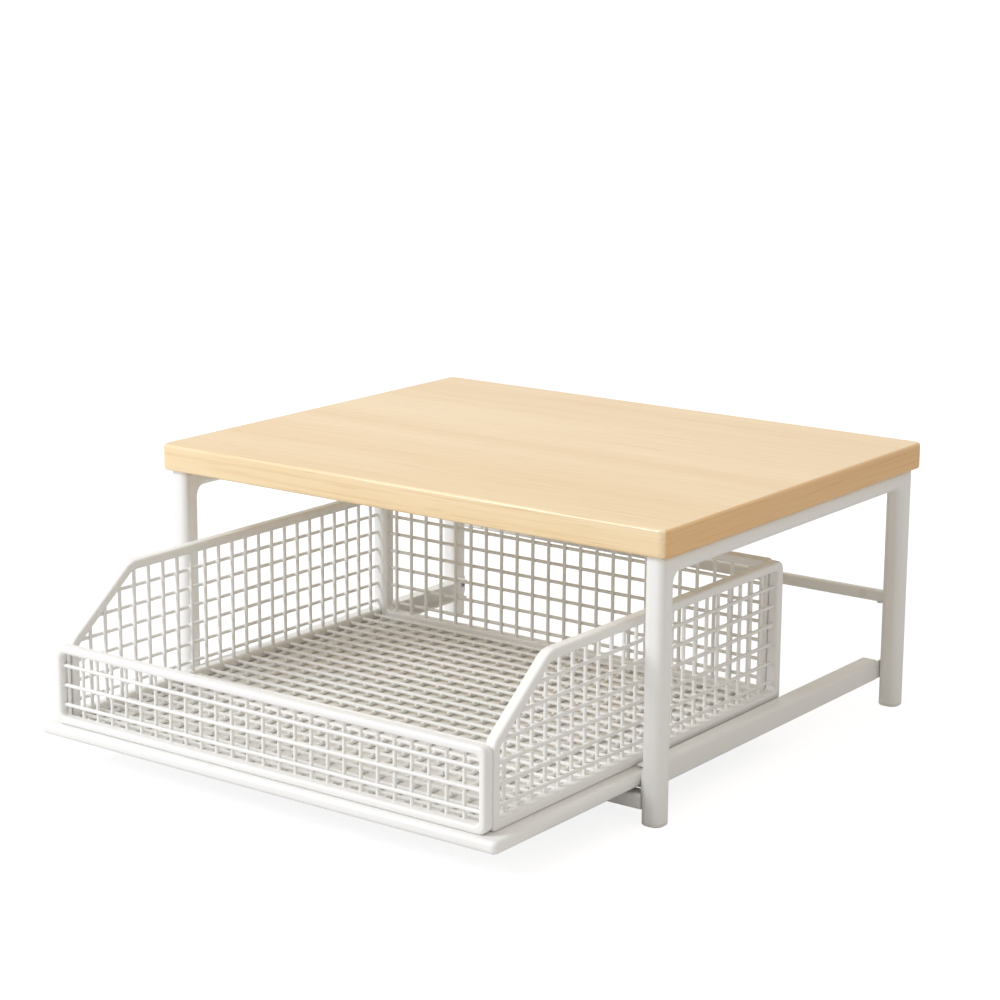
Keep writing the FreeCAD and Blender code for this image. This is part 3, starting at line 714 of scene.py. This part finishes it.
def growRing(bm, edges):
    # a second ring of points and edges, joined to the first and still in its place
    grown = bmesh.ops.extrude_edge_only(bm, edges=edges)["geom"]
    ring = [g for g in grown if isinstance(g, bmesh.types.BMVert)]
    edges = [g for g in grown if isinstance(g, bmesh.types.BMEdge)]
    return ring, [edge for edge in edges if all(v in ring for v in edge.verts)]


def addRoundStack(bm, place, way, radius, height, profile, segments):
    # rings along the way, in shares of radius and height, closed at the start; gives the last one's edges
    steps = [(radius * r, height * h) for r, h in profile]
    edges = addRing(bm, place + way * steps[0][1], way, steps[0][0], segments)
    bmesh.ops.holes_fill(bm, edges=edges, sides=0)
    for (lastRadius, lastHeight), (nextRadius, nextHeight) in zip(steps, steps[1:]):
        ring, edges = growRing(bm, edges)
        middle = Matrix.Translation(-(place + way * lastHeight))
        bmesh.ops.scale(bm, vec=[nextRadius / lastRadius] * 3, space=middle, verts=ring)
        bmesh.ops.translate(bm, vec=way * (nextHeight - lastHeight), verts=ring)
    return edges


def addDome(bm, place, way, radius, height, profile, segments):
    edges = addRoundStack(bm, place, way, radius, height, profile, segments)
    bmesh.ops.holes_fill(bm, edges=edges, sides=0)


headProfile = ((1, 0), (1, 0.5), (0.95, 0.78), (0.82, 1))


def addScrew(bm, seat, way, look):
    # low head with a rounded rim and a hexagon socket, and a plain shank; way points out of the seat
    height = look["height"]
    addRod(bm, seat, seat - way * look["shank"], look["core"])
    rim = addRoundStack(bm, seat, way, look["head"], height, headProfile, segments=24)
    hexagon = addRing(bm, seat + way * height, way, look["socket"], segments=6)
    bmesh.ops.bridge_loops(bm, edges=rim + hexagon)
    ring, floor = growRing(bm, hexagon)
    bmesh.ops.translate(bm, vec=way * (-height * look["socketDepth"]), verts=ring)
    bmesh.ops.holes_fill(bm, edges=floor, sides=0)


# seat is where the head meets what it holds, above the CAD screw's lowest point
screwLook = {
    "board_screws": {
        "name": "boardScrews", "body": "stand", "seat": 2.5 * mm, "head": 4 * mm, "height": 2.5 * mm,
        "socket": 1.9 * mm, "core": 2 * mm, "shank": 12 * mm, "socketDepth": 0.7, "material": zincPlate},
    "crossbar_screws": {
        "name": "crossbarScrews", "body": "stand", "seat": 1.8 * mm, "head": 2.75 * mm, "height": 1.4 * mm,
        "socket": 1.3 * mm, "core": 1.5 * mm, "shank": 4 * mm, "socketDepth": 0.7, "material": tubeCoat},
    "tray_screws": {
        "name": "trayScrews", "body": "drawer", "seat": 1.8 * mm, "head": 2.75 * mm, "height": 1.8 * mm,
        "socket": 1.3 * mm, "core": 1.5 * mm, "shank": 4 * mm, "socketDepth": 0.7, "material": zincPlate},
}
for node, look in screwLook.items():
    bm = bmesh.new()
    for low, high in looseParts(node):
        x, y = ((low + high) / 2).xy
        addScrew(bm, Vector((x, y, low.z + look["seat"])), -zWay, look)
    finishPiece(look["name"], bm, look["body"], [node], look["material"])
runnerScrewLook = {
    "head": 2.75 * mm, "height": 0.8 * mm, "socket": 1.3 * mm, "core": 1.5 * mm, "shank": 5 * mm,
    "socketDepth": 0.8,
}
bm = bmesh.new()
for low, high in looseParts("runner_screws"):
    side = 1 if low.x > 0 else -1
    y, z = ((low + high) / 2).yz
    addScrew(bm, Vector((low.x if side > 0 else high.x, y, z)), xWay * -side, runnerScrewLook)
finishPiece("runnerScrews", bm, "stand", ["runner_screws"], zincPlate)
bumperLook = {"radius": 4 * mm, "profile": ((1, 0), (1, 0.4), (0.95, 0.75), (0.84, 0.95), (0.6, 1))}
for word in ("right", "left"):
    low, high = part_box("bumper_" + word)
    seat = Vector(((low.x + high.x) / 2, high.y, (low.z + high.z) / 2))
    bm = bmesh.new()
    addDome(bm, seat, -yWay, bumperLook["radius"], high.y - low.y, bumperLook["profile"], segments=28)
    finishPiece("bumperPad_" + word, bm, "stand", ["bumper_" + word], paleRubber)
print("screws and bumpers done")


glideLook = {
    "seat": 1.5 * mm,      # the strip lies this far above the lowest point of its pegs in the CAD
    "edge": 0.5 * mm, "peg": 1.4 * mm, "pegMargin": 30 * mm,
    "profile": ((1, 0), (1, 1), (0.92, 1.12), (0.7, 1.2)),
}
for word in ("right", "left"):
    low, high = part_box("glide_strip_" + word)
    floorZ = low.z + glideLook["seat"]
    bm = bmesh.new()
    addBlock(bm, (low.x, low.y, floorZ), high)
    bevel(bm, sharpEdges(bm, atLevel(zAxis, high.z)), glideLook["edge"], segments=3)
    for y in (low.y + glideLook["pegMargin"], high.y - glideLook["pegMargin"]):
        root = Vector(((low.x + high.x) / 2, y, floorZ))
        addDome(bm, root, -zWay, glideLook["peg"], glideLook["seat"], glideLook["profile"], segments=20)
    finishPiece("glideStrip_" + word, bm, "stand", ["glide_strip_" + word], nylonSlide)
print("glide strips done")


# shoes and pins keep their shape and get their finish
def refinish(node, material):
    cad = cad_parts[node]
    cad.data.materials.clear()
    cad.data.materials.append(material)


for node in ("rear_shoe_right", "rear_shoe_left"):
    refinish(node, nylonSlide)
refinish("corner_pins", zincPlate)
print("small parts done")
